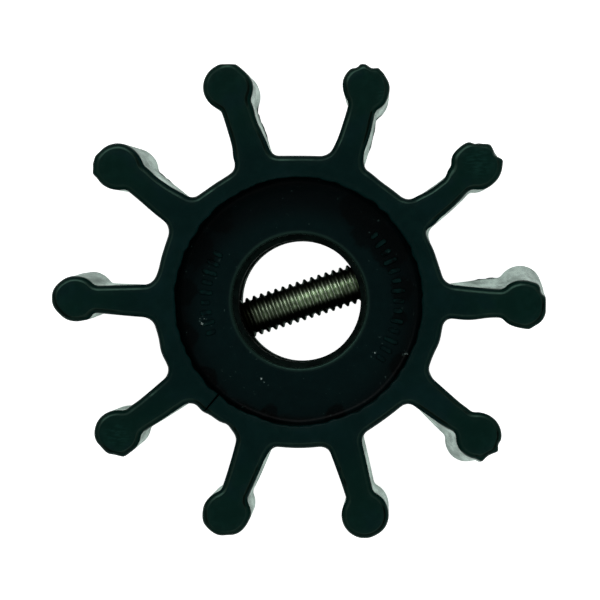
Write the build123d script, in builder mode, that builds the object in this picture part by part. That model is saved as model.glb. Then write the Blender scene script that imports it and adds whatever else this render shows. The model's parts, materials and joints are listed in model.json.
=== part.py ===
from build123d import *
import os
from math import asin, degrees, sqrt

# Flexible impeller of a small sea-water pump: a rubber hub and blades moulded in one, round a
# rigid bush with a drive screw straight across its bore. The screw drops into the slotted end
# of the pump's shaft. Millimetres and degrees. The origin is the middle of the bore at half the
# width, +Z is the bore's axis towards the front face, and the first blade lies on +X.

# ---- blades ----
blade_count = 10
tip_diameter = 50.8
bulb_diameter = 4.8
stem_thickness_at_hub = 3.5
stem_thickness_at_bulb = 2.6
root_fillet = 1.15
neck_fillet = 0.8

# Sideways set that each blade has taken in use, anticlockwise positive, measured at the middle
# of its bulb: at the front face, then at the back face. The first pair is the blade on +X.
blade_set = [
    (-0.25, 1.3), (0.55, 0.3), (0.25, 0.1), (0.15, -0.1), (-0.25, -0.7),
    (-0.3, -0.8), (0.0, -0.3), (-0.3, -0.3), (-0.3, -0.1), (-0.3, -1.75),
]

# ---- rubber hub ----
impeller_width = 22.2
hub_across_flats = 29.7
rim_wall = 2.15
recess_depth = 3.2
recess_floor_chamfer = 0.6
lip_thickness = 0.8
lip_setback = 0.55
lip_edge_chamfer = 0.25
face_edge_chamfer = 0.35

# ---- bush ----
shaft_bore = 12.7
bush_wall = 3.2
bush_chamfer = 0.4
key_flute_count = 10
key_flute_radius = 1.0
key_flute_depth = 0.6
bore_relief_depth = 0.3
bore_relief_margin = 0.5

# ---- drive screw ----
screw_diameter = 4.166
screw_angle = 18.0
screw_end_setback = 0.8
screw_end_chamfer = 0.45
screw_slot_width = 0.8
screw_slot_depth = 1.1

# ---- worked out from the sizes above ----
half_width = impeller_width / 2
hub_apothem = hub_across_flats / 2
half_pitch = 180 / blade_count
bulb_radius = bulb_diameter / 2
bulb_reach = tip_diameter / 2 - bulb_radius - hub_apothem
recess_radius = hub_apothem - rim_wall
bore_radius = shaft_bore / 2
lip_radius = bore_radius + lip_setback
bush_radius = bore_radius + bush_wall
bush_half_length = half_width - recess_depth - lip_thickness
flute_centre_radius = bush_radius + key_flute_radius - key_flute_depth
relief_radius = bore_radius + bore_relief_depth
relief_half_length = screw_diameter / 2 + bore_relief_margin
screw_length = 2 * (bush_radius - screw_end_setback)
screw_plane = Plane(origin=(0, 0, 0), z_dir=Vector(1, 0, 0).rotate(Axis.Z, screw_angle))


def crossing(normal_a, offset_a, normal_b, offset_b):
    """Point where two lines meet, each given by its normal and its distance from the origin."""
    spread = normal_a.X * normal_b.Y - normal_a.Y * normal_b.X
    return Vector(
        (offset_a * normal_b.Y - offset_b * normal_a.Y) / spread,
        (offset_b * normal_a.X - offset_a * normal_b.X) / spread,
    )


def flank_points(side, lean):
    """Points along one flank of a blade on +X, from the hub's flat out to the bulb.

    side is -1 for the clockwise flank and 1 for the other, and lean is the blade's turn about
    its root. The points are the root fillet's start, middle and end, the neck fillet's start,
    middle and end, a point on the way round the bulb, the tip, and the middle of the bulb.
    """
    root = Vector(hub_apothem, 0)
    along = Vector(1, 0).rotate(Axis.Z, lean)
    across = along.rotate(Axis.Z, side * 90)
    bulb = root + along * bulb_reach
    tip = bulb + Vector(bulb_radius, 0)
    flank_start = root + across * stem_thickness_at_hub / 2
    flank_end = bulb + across * stem_thickness_at_bulb / 2
    run = (flank_end - flank_start).normalized()
    normal = run.rotate(Axis.Z, side * 90)

    # the root fillet rolls between the flank and the hub's flat
    flat_normal = Vector(1, 0).rotate(Axis.Z, side * half_pitch)
    root_centre = crossing(
        normal, flank_start.dot(normal) + root_fillet, flat_normal, hub_apothem + root_fillet
    )
    root_middle = root_centre - (normal + flat_normal).normalized() * root_fillet

    # the neck fillet rolls between the flank and the bulb
    beside = neck_fillet - (bulb - flank_start).dot(normal)
    behind = sqrt((bulb_radius + neck_fillet) ** 2 - beside**2)
    neck_centre = bulb + normal * beside - run * behind
    to_bulb = (bulb - neck_centre).normalized()
    neck_middle = neck_centre + (to_bulb - normal).normalized() * neck_fillet
    bulb_middle = bulb + (along - to_bulb).normalized() * bulb_radius
    return (
        root_centre - flat_normal * root_fillet,
        root_middle,
        root_centre - normal * root_fillet,
        neck_centre - normal * neck_fillet,
        neck_middle,
        neck_centre + to_bulb * neck_fillet,
        bulb_middle,
        tip,
    )


def impeller_outline(height):
    """The hub's flats and all the blades as one closed outline at a height along the bore."""
    depth_share = 0.5 - height / impeller_width
    flats = []
    with BuildLine() as outline:
        for blade in range(blade_count):
            front, back = blade_set[blade % len(blade_set)]
            lean = degrees(asin((front + (back - front) * depth_share) / bulb_reach))
            out, home = (
                [point.rotate(Axis.Z, 2 * half_pitch * blade) for point in flank_points(side, lean)]
                for side in (-1, 1)
            )
            ThreePointArc(out[0], out[1], out[2])
            Line(out[2], out[3])
            ThreePointArc(out[3], out[4], out[5])
            ThreePointArc(out[5], out[6], out[7])
            ThreePointArc(home[7], home[6], home[5])
            ThreePointArc(home[5], home[4], home[3])
            Line(home[3], home[2])
            ThreePointArc(home[2], home[1], home[0])
            flats.append((out[0], home[0]))
        for blade in range(blade_count):
            Line(flats[blade - 1][1], flats[blade][0])
    return outline.line


def rings(candidates, radius, height):
    """The circular edges of a radius that lie at a height above or below half the width."""
    circles = candidates.filter_by(GeomType.CIRCLE)
    return circles.filter_by(
        lambda ring: abs(ring.radius - radius) < 1e-3 and abs(abs(ring.center().Z) - height) < 1e-3
    )


# Bush, blank: the outer form that the rubber is moulded round, keyed by lengthwise flutes that
# stand clear of the screw's ends.
with BuildPart() as bush_blank:
    Cylinder(bush_radius, 2 * bush_half_length)
    chamfer(edges(), bush_chamfer)
    with PolarLocations(flute_centre_radius, key_flute_count, screw_angle + 180 / key_flute_count):
        Cylinder(key_flute_radius, 2 * bush_half_length, mode=Mode.SUBTRACT)

# Bush: bored for the shaft in two lands, relieved between them, and tapped for the screw.
with BuildPart() as hub_insert:
    add(bush_blank.part)
    with BuildSketch(Plane.XZ):
        with BuildLine():
            Polyline(
                (0, -bush_half_length),
                (bore_radius + bush_chamfer, -bush_half_length),
                (bore_radius, bush_chamfer - bush_half_length),
                (bore_radius, -relief_half_length),
                (relief_radius, -relief_half_length),
                (relief_radius, relief_half_length),
                (bore_radius, relief_half_length),
                (bore_radius, bush_half_length - bush_chamfer),
                (bore_radius + bush_chamfer, bush_half_length),
                (0, bush_half_length),
                close=True,
            )
        make_face()
    revolve(axis=Axis.Z, mode=Mode.SUBTRACT)
    with Locations(screw_plane):
        Cylinder(screw_diameter / 2, 2 * bush_radius, mode=Mode.SUBTRACT)

# Drive screw: headless, right across the bore, slotted at one end to be screwed home.
with BuildPart(screw_plane) as drive_screw:
    Cylinder(screw_diameter / 2, screw_length)
    chamfer(edges(), screw_end_chamfer)
    with Locations((0, 0, screw_length / 2)):
        Box(screw_slot_width, screw_diameter, 2 * screw_slot_depth, mode=Mode.SUBTRACT)

# Rubber: hub and blades in one moulding. Each blade leans from face to face by its set.
with BuildPart() as rubber_body:
    for height in (half_width, 0, -half_width):
        with BuildSketch(Plane.XY.offset(height)):
            with BuildLine():
                add(impeller_outline(height))
            make_face()
    loft(ruled=True)
    ends = faces().filter_by(Plane.XY)
    chamfer(ends.edges(), face_edge_chamfer)

    # the hollow through the hub: a recess in each face, and a lip over each end of the bush
    for end in (1, -1):
        with BuildSketch(Plane.XY.offset(end * half_width)):
            Circle(recess_radius)
        extrude(amount=-end * recess_depth, mode=Mode.SUBTRACT)
    Cylinder(lip_radius, impeller_width, mode=Mode.SUBTRACT)
    add(bush_blank.part, mode=Mode.SUBTRACT)

    for radius, height, size in (
        (recess_radius, half_width, face_edge_chamfer),
        (recess_radius, half_width - recess_depth, recess_floor_chamfer),
        (lip_radius, half_width - recess_depth, lip_edge_chamfer),
    ):
        chamfer(rings(edges(), radius, height), size)

rubber_body.part.label = "rubber_body"
hub_insert.part.label = "hub_insert"
drive_screw.part.label = "drive_screw"

os.makedirs("parts", exist_ok=True)
export_step(rubber_body.part, "parts/rubber_body.step")
export_step(hub_insert.part, "parts/hub_insert.step")
export_step(drive_screw.part, "parts/drive_screw.step")
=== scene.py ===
"""Flexible pump impeller: worn rubber hub and blades, a tarnished bush and a threaded drive screw.

Everything is in metres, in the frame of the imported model: +Z is the bore's axis towards the
front face, +X runs along the first blade, and the origin is the middle of the bore.
"""

import json
from math import acos, atan2, ceil, cos, hypot, pi, radians, sin, sqrt

import bmesh
import bpy
import numpy as np
from mathutils import Matrix, Vector, noise
from mathutils.geometry import delaunay_2d_cdt


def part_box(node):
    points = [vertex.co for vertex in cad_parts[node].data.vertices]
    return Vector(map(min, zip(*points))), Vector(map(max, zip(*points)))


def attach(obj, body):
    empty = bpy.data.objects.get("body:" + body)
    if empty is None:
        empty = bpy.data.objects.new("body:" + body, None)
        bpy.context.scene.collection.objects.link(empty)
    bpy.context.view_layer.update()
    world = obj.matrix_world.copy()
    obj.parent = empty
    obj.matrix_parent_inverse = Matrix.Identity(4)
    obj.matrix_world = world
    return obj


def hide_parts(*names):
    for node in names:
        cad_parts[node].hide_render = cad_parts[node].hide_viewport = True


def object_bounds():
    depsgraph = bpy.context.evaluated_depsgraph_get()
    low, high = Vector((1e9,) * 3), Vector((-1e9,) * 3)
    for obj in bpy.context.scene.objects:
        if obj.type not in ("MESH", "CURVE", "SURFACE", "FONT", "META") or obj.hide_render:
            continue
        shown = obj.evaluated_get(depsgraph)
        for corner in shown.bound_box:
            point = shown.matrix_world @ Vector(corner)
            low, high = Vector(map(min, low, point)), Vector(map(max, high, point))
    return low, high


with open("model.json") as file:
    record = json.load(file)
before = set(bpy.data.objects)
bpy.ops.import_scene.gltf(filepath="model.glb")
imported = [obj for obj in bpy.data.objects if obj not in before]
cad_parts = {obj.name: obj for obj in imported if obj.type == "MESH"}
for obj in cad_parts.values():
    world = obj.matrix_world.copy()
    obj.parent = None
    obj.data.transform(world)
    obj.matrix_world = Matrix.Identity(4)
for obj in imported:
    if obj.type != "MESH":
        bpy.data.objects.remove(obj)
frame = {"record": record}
CAD_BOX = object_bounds()

bl_info = {
    "name": "Flexible Pump Impeller",
    "version": (1, 0, 0),
    "blender": (4, 5, 0),
    "location": "3D View > Sidebar > Impeller",
    "description": "Builds a used flexible pump impeller with its bush and drive screw",
    "category": "Add Mesh",
}

MM = 0.001
BODY = "root"
MERGE_DISTANCE = 0.004 * MM
LIP_BACK_EDGE = 1.2 * MM  # how far inside the bush's skin the rubber's last row on its end lies
FLASH_RISE = 0.10 * MM  # how far the crest of the flash lies in front of the back edge's round
LOW_MARK = -12  # least height, in millimetres, of a mark that runs right through to the back

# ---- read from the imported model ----
RUBBER_LOW, RUBBER_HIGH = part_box("rubber_body")
BUSH_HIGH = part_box("hub_insert")[1]
SCREW_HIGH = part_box("drive_screw")[1]
MOUNTS = {mount["name"]: mount for mount in frame["record"]["mounts"]}
HALF_WIDTH = RUBBER_HIGH.z
BORE_RADIUS = MOUNTS["shaft_bore_front"]["dims"]["r_mm"] * MM
BUSH_HALF_LENGTH = BUSH_HIGH.z
BUSH_RADIUS = BUSH_HIGH.y
SCREW_RADIUS = SCREW_HIGH.z

# What use has done to each blade, in millimetres: its sideways set at the front face and at the
# back face, anticlockwise positive, how far the middle of its stem bows, how much it has
# stretched at the front and at the back, and how much its bulb has swollen at the front and at
# the back. The first row is the blade on +X.
BLADE_SETS = (
    (-0.4, 1.5, 0.0, 0.0, 0.5, 0.12, -0.14),
    (0.5, 0.5, -0.2, 0.15, 0.15, 0.15, -0.15),
    (0.2, 0.28, -0.28, 0.03, 0.03, 0.08, 0.0),
    (0.25, -0.1, -0.1, 0.2, 0.2, 0.04, 0.04),
    (-0.22, -0.75, -0.1, 0.18, -0.12, 0.03, 0.03),
    (-0.3, -0.8, 0.05, 0.05, -0.3, 0.0, 0.0),
    (0.05, -0.1, 0.08, 0.07, 0.07, 0.0, -0.15),
    (-0.35, -0.43, 0.16, 0.05, 0.05, 0.03, -0.08),
    (-0.28, -0.3, 0.05, 0.0, 0.0, 0.05, 0.0),
    (-0.3, -1.85, 0.0, 0.08, 0.25, 0.0, -0.17),
)
# The columns that the blades' geometry tree reads, in their order.
TREE_COLUMNS = ("front_set", "back_set", "bow", "front_stretch", "back_stretch")

# Dents and flash left by the mould and by wear, in millimetres and degrees: which blade, the
# direction round its bulb, how far the skin moves outwards, the spread, and the least height.
BULB_MARKS = (
    (0, 53, 0.12, 0.34, 3),
    (0, 31, -0.24, 0.28, 3),
    (0, 7, 0.10, 0.28, LOW_MARK),
    (0, -40, 0.10, 0.60, LOW_MARK),
    (0, -75, 0.12, 0.28, 4),
    (0, -105, -0.08, 0.50, 0),
    (1, -6, -0.50, 0.42, 3),
    (1, -24, 0.14, 0.28, 3),
    (1, 12, -0.15, 0.25, 3),
    (1, 45, -0.34, 0.60, 3),
    (1, 62, -0.20, 0.25, 3),
    (1, 128, 0.32, 0.75, 2),
    (2, 0, -0.42, 0.48, 3),
    (2, 27, 0.10, 0.30, 3),
    (2, 42, -0.24, 0.30, 3),
    (2, -14, 0.14, 0.30, 3),
    (2, -22, -0.10, 0.25, 3),
    (2, -42, -0.16, 0.60, 3),
    (3, -25, 0.22, 0.60, 2),
    (3, -98, 0.24, 0.70, 2),
    (4, 51, 0.24, 0.28, 4),
    (4, 30, 0.16, 0.35, 4),
    (4, 11, 0.14, 0.28, 4),
    (5, -90, -0.12, 0.90, 0),
    (5, -50, -0.12, 0.70, LOW_MARK),
    (5, 45, -0.10, 0.60, LOW_MARK),
    (5, 100, 0.04, 0.40, LOW_MARK),
    (5, 125, 0.20, 0.40, 0),
    (6, 7, -0.18, 0.60, LOW_MARK),
    (6, 45, -0.14, 0.40, 0),
    (6, 70, 0.12, 0.28, 2),
    (7, -50, 0.10, 0.50, LOW_MARK),
    (7, 22, -0.14, 0.50, LOW_MARK),
    (7, 105, 0.10, 0.60, 4),
    (8, 10, -0.06, 0.60, LOW_MARK),
    (9, -47, 0.28, 0.26, 5),
    (9, -25, -0.10, 0.33, 5),
    (9, -2, 0.18, 0.24, 5),
    (9, 13, -0.15, 0.28, 5),
)

# The same along the stems: which blade, how far out from the bore's axis, how far to the side
# of the blade's middle, how far the skin moves outwards, the spread, and the least height.
STEM_MARKS = (
    (0, 17.5, -1.6, 0.25, 1.20, 0),
    (0, 20.0, 1.5, 0.02, 1.20, 0),
    (1, 15.0, -2.3, -0.25, 0.50, 0),
    (1, 15.9, -1.9, 0.16, 0.35, 0),
    (1, 20.8, -1.7, -0.16, 0.60, 0),
    (1, 18.0, 1.5, -0.26, 1.20, 2),
    (1, 19.5, 1.4, -0.12, 0.40, 2),
    (1, 20.6, 1.8, 0.24, 0.50, 2),
    (2, 15.4, -2.0, 0.20, 0.60, 0),
    (2, 16.8, 1.7, -0.12, 1.20, 0),
    (2, 16.6, -1.7, -0.10, 0.90, 0),
    (3, 16.0, 1.8, 0.20, 0.60, 0),
    (3, 17.5, -1.6, 0.15, 1.50, 0),
    (3, 16.0, -1.8, 0.16, 1.00, 0),
    (3, 20.8, -1.7, 0.40, 0.90, 2),
    (4, 15.6, 1.8, -0.12, 0.90, 0),
    (4, 15.6, -1.8, 0.22, 0.90, 0),
    (4, 20.8, -1.6, 0.25, 0.70, 0),
    (6, 20.6, -1.6, 0.10, 0.60, 0),
    (7, 15.6, 1.8, 0.12, 0.60, 0),
    (9, 20.8, 1.5, 0.12, 0.60, 0),
    (9, 21.0, -1.6, -0.16, 0.70, 0),
)

# The same on the hub's flats: the direction from the bore's axis, how far the skin moves
# outwards, the spread, and the least height.
HUB_MARKS = (
    (26, -0.18, 0.70, 0),
    (51, 0.08, 1.00, 0),
    (60.5, 0.16, 0.80, 0),
    (90, 0.10, 2.40, LOW_MARK),
    (118.5, -0.12, 0.90, 0),
    (168, -0.13, 0.80, 0),
    (200.5, 0.22, 0.80, 0),
    (229, 0.16, 0.40, 3),
    (240, -0.25, 0.40, 3),
    (270, 0.28, 2.00, LOW_MARK),
    (306, 0.20, 2.40, LOW_MARK),
    (344, 0.22, 0.90, 0),
)

# Where thin ragged flash stands out along the back edges, in millimetres: X, Y and radius.
FLASH_SPOTS = ((7.4, 18.3, 2.6), (-4.5, 19.0, 2.6), (-15.2, 13.2, 1.2), (19.4, 2.4, 1.4))

# Clusters of pale grit on the recess's floor, in millimetres: X, Y and radius.
GRIT = (
    (-9.9, -2.1, 0.9), (-3.9, -8.2, 0.7), (8.5, -4.2, 0.9), (11.1, -5.7, 0.8), (7.6, -5.6, 0.8),
)

# Dark, damp-looking stains on the recess's floor, in millimetres: X, Y and radius.
STAINS = (
    (7.4, 7.6, 3.2), (9.6, 5.0, 2.8), (5.6, 9.6, 2.2), (10.6, 1.2, 2.0), (10.4, -1.8, 1.4),
    (10.8, -6.8, 2.2), (-8.4, 8.6, 2.4), (-10.6, 5.4, 3.0), (-12.0, 1.0, 2.2), (-11.8, -3.6, 2.0),
    (-9.6, -8.0, 1.8), (-3.2, -11.8, 1.6), (3.8, -11.9, 1.8),
)

# Scuffed patches on the front face, in millimetres: X, Y and radius.
SCUFFS = ((18.4, 14.2, 2.2), (-18.6, -13.8, 1.8), (9.0, 21.0, 1.3))

# Direction of the crack across the front rim, in degrees, its half width and its depth.
SPLIT_ANGLE = 229.5
SPLIT_HALF = 0.09 * MM
SPLIT_DEPTH = 1.6 * MM

# The raised marks in the recess: the distance from one to the next, and for each of their two
# arcs the radius in millimetres and where it starts and how far it sweeps, in degrees.
MARK_PITCH = 1.05 * MM
MARK_ARCS = {"First": (9.7, 150, 62), "Second": (10.3, -35, 82)}

# Colours of the rubber's parts and of what lies on them, with painted shade for the recess and its
# wall and a painted highlight for the lip.
HUB_TINT = (0.0003, 0.0068, 0.0064)
CLOUD_TINT = (0.0003, 0.0062, 0.0070)
RECESS_SHADE = (0.0002, 0.0017, 0.0020)
RECESS_LIT = (0.0004, 0.0058, 0.0060)
STAIN_AND_SHADE_TINT = (0.0001, 0.0005, 0.0006)
LIP_HIGHLIGHT_TINT = (0.0020, 0.0150, 0.0130)
MARK_TINT = (0.0008, 0.0088, 0.0080)
GRIT_TINT = (0.045, 0.085, 0.075)
CHALK_TINT = (0.30, 0.36, 0.34)
SHINE_TINT = (0.018, 0.040, 0.031)

# Colours of the dirt on the bush, of the painted shade on its front land, and of the painted shade
# and dirt on the screw.
GRIME_LIGHT = (0.0026, 0.0070, 0.0058)
GRIME_DARK = (0.0008, 0.0028, 0.0024)
LAND_SHADE = (0.0008, 0.0014, 0.0012)
SCREW_SHADE_AND_GRIME = (0.012, 0.014, 0.006)

# How finely the shapes are divided.
EDGE_STEPS = 7
RECESS_EDGE_STEPS = 4
SIDE_ROWS = 20
CAVITY_ROWS = 10
LAND_ROWS = 6
MARK_END_STEPS = 6
CAP_SPACING = 0.42 * MM
CAP_RIM_STEPS = 6
THREAD_SIDES = 72
THREAD_ROWS = 330

# The lamps: name, place in metres, width, height, power in watts, and whether shiny surfaces
# mirror it.
LAMPS = (
    ("key_softbox", (-0.12, 0.31, 0.55), 0.60, 0.24, 1.5, True),
    ("fill_softbox", (0.50, 0.20, 0.40), 0.30, 0.30, 0.7, False),
    ("low_softbox", (0.10, -0.50, 0.38), 0.30, 0.30, 0.8, False),
    ("screw_softbox", (0.05, -0.17, 0.40), 0.20, 0.20, 0.10, True),
    ("top_softbox", (0.0, 0.0, 0.60), 0.30, 0.30, 1.4, False),
)
FLOOR_HALF = 3.0
FLOOR_DROP = 0.02 * MM


class ImpellerRubber(bpy.types.PropertyGroup):
    blade_count: bpy.props.IntProperty(
        name="Blades", description="Number of blades round the hub", default=10, min=3
    )
    tip_diameter: bpy.props.FloatProperty(
        name="Tip diameter", description="Circle that the blade tips stand on",
        default=50.8 * MM, unit="LENGTH",
    )
    bulb_diameter: bpy.props.FloatProperty(
        name="Bulb diameter", description="Thickness of the round bulb at a blade's tip",
        default=4.8 * MM, unit="LENGTH",
    )
    stem_at_hub: bpy.props.FloatProperty(
        name="Stem at hub", description="Thickness of a blade where it leaves the hub",
        default=3.5 * MM, unit="LENGTH",
    )
    stem_at_bulb: bpy.props.FloatProperty(
        name="Stem at bulb", description="Thickness of a blade at the middle of its bulb",
        default=2.6 * MM, unit="LENGTH",
    )
    root_fillet: bpy.props.FloatProperty(
        name="Root fillet", description="Radius between blade and hub",
        default=1.3 * MM, unit="LENGTH",
    )
    neck_fillet: bpy.props.FloatProperty(
        name="Neck fillet", description="Radius between stem and bulb",
        default=0.8 * MM, unit="LENGTH",
    )
    hub_across_flats: bpy.props.FloatProperty(
        name="Hub across flats", description="Width of the hub over two opposite flats",
        default=29.7 * MM, unit="LENGTH",
    )
    rim_wall: bpy.props.FloatProperty(
        name="Rim wall", description="Thickness of the rim round the recess",
        default=2.15 * MM, unit="LENGTH",
    )
    recess_depth: bpy.props.FloatProperty(
        name="Recess depth", description="Depth of the recess in each face",
        default=3.2 * MM, unit="LENGTH",
    )
    lip_setback: bpy.props.FloatProperty(
        name="Lip setback", description="How far the rubber lip stands clear of the shaft",
        default=0.55 * MM, unit="LENGTH",
    )
    edge_round: bpy.props.FloatProperty(
        name="Edge round", description="Radius of the moulded edges",
        default=0.6 * MM, unit="LENGTH",
    )
    recess_round: bpy.props.FloatProperty(
        name="Recess edge round", description="Radius of the recess's edge in the face",
        default=0.2 * MM, unit="LENGTH",
    )
    back_flash: bpy.props.FloatProperty(
        name="Back flash", description="How far thin flash stands out along the back edges",
        default=0.12 * MM, unit="LENGTH",
    )
    floor_fillet: bpy.props.FloatProperty(
        name="Recess fillet", description="Radius between the recess's wall and floor",
        default=0.6 * MM, unit="LENGTH",
    )
    mark_length: bpy.props.FloatProperty(
        name="Mark length", description="Length of the raised mould marks in the recess",
        default=1.5 * MM, unit="LENGTH",
    )
    mark_width: bpy.props.FloatProperty(
        name="Mark width", description="Width of a raised mould mark",
        default=0.50 * MM, unit="LENGTH",
    )
    mark_height: bpy.props.FloatProperty(
        name="Mark height", description="Height of a raised mould mark over the recess's floor",
        default=0.22 * MM, unit="LENGTH",
    )
    lip_round: bpy.props.FloatProperty(
        name="Lip round", description="Radius of the lip's edge",
        default=0.25 * MM, unit="LENGTH",
    )
    colour: bpy.props.FloatVectorProperty(
        name="Rubber colour", description="Colour of the clean moulded rubber",
        subtype="COLOR", default=(0.0005, 0.0092, 0.0068), min=0, max=1,
    )
    bloom: bpy.props.FloatVectorProperty(
        name="Bloom colour", description="Colour of the grey bloom on rubbed and aged rubber",
        subtype="COLOR", default=(0.016, 0.082, 0.064), min=0, max=1,
    )


class ImpellerBush(bpy.types.PropertyGroup):
    relief_depth: bpy.props.FloatProperty(
        name="Relief depth", description="Depth of the relief between the two lands",
        default=0.3 * MM, unit="LENGTH",
    )
    relief_margin: bpy.props.FloatProperty(
        name="Relief margin", description="Relief beyond each side of the screw",
        default=0.5 * MM, unit="LENGTH",
    )
    chamfer: bpy.props.FloatProperty(
        name="Chamfer", description="Chamfer on the bush's edges", default=0.4 * MM, unit="LENGTH",
    )
    flute_radius: bpy.props.FloatProperty(
        name="Flute radius", description="Radius of the flutes that key the rubber",
        default=1.0 * MM, unit="LENGTH",
    )
    flute_depth: bpy.props.FloatProperty(
        name="Flute depth", description="Depth of the flutes", default=0.6 * MM, unit="LENGTH",
    )
    # The bush's colour is near black: partly its tarnish, and partly painted shade for the dark
    # ring round the bore's mouth.
    colour: bpy.props.FloatVectorProperty(
        name="Bush colour", description="Colour of the tarnished bush",
        subtype="COLOR", default=(0.004, 0.010, 0.008), min=0, max=1,
    )


class ImpellerScrew(bpy.types.PropertyGroup):
    turn: bpy.props.FloatProperty(
        name="Angle", description="Direction of the screw across the bore",
        default=radians(18), subtype="ANGLE",
    )
    length: bpy.props.FloatProperty(
        name="Length", description="Length of the screw", default=17.5 * MM, unit="LENGTH",
    )
    pitch: bpy.props.FloatProperty(
        name="Pitch", description="Distance from one thread to the next",
        default=25.4 / 32 * MM, unit="LENGTH",
    )
    thread_depth: bpy.props.FloatProperty(
        name="Thread depth", description="Depth of the thread", default=0.36 * MM, unit="LENGTH",
    )
    end_chamfer: bpy.props.FloatProperty(
        name="End chamfer", description="Chamfer at each end", default=0.45 * MM, unit="LENGTH",
    )
    slot_width: bpy.props.FloatProperty(
        name="Slot width", description="Width of the driver slot", default=0.8 * MM, unit="LENGTH",
    )
    slot_depth: bpy.props.FloatProperty(
        name="Slot depth", description="Depth of the driver slot", default=1.1 * MM, unit="LENGTH",
    )
    colour: bpy.props.FloatVectorProperty(
        name="Steel colour", description="Colour of the screw's steel",
        subtype="COLOR", default=(0.52, 0.65, 0.46), min=0, max=1,
    )


class ImpellerStage(bpy.types.PropertyGroup):
    camera_distance: bpy.props.FloatProperty(
        name="Camera distance", description="Height of the camera above the front face",
        default=0.430, unit="LENGTH",
    )
    camera_foot_x: bpy.props.FloatProperty(
        name="Camera foot X", description="Where the camera stands over the face, along X",
        default=10.4 * MM, unit="LENGTH",
    )
    camera_foot_y: bpy.props.FloatProperty(
        name="Camera foot Y", description="Where the camera stands over the face, along Y",
        default=0.1 * MM, unit="LENGTH",
    )
    camera_aim_x: bpy.props.FloatProperty(
        name="Camera aim X", description="Point of the face in the picture's middle, along X",
        default=0.164 * MM, unit="LENGTH",
    )
    camera_aim_y: bpy.props.FloatProperty(
        name="Camera aim Y", description="Point of the face in the picture's middle, along Y",
        default=0.103 * MM, unit="LENGTH",
    )
    picture_width: bpy.props.FloatProperty(
        name="Picture width", description="Width that the picture shows at the front face",
        default=61.58 * MM, unit="LENGTH",
    )
    floor_colour: bpy.props.FloatVectorProperty(
        name="Floor colour", description="Colour of the floor",
        subtype="COLOR", default=(0.82, 0.82, 0.82), min=0, max=1,
    )


# ---------------------------------------------------------------- node expressions

class Sig:
    """One output of a node, usable in arithmetic: each operator adds the node it needs."""

    def __init__(self, graph, socket):
        self.graph = graph
        self.socket = socket

    def other(self, name):
        """Another output of the same node."""
        return Sig(self.graph, self.socket.node.outputs[name])

    def __add__(self, value):
        return self.graph.sum_up("ADD", self, value)

    def __radd__(self, value):
        return self.graph.sum_up("ADD", value, self)

    def __sub__(self, value):
        return self.graph.sum_up("SUBTRACT", self, value)

    def __rsub__(self, value):
        return self.graph.sum_up("SUBTRACT", value, self)

    def __mul__(self, value):
        return self.graph.sum_up("MULTIPLY", self, value)

    def __rmul__(self, value):
        return self.graph.sum_up("MULTIPLY", value, self)

    def __truediv__(self, value):
        return self.graph.sum_up("DIVIDE", self, value)

    def __rtruediv__(self, value):
        return self.graph.sum_up("DIVIDE", value, self)

    def __neg__(self):
        return self.graph.sum_up("MULTIPLY", self, -1.0)


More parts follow.
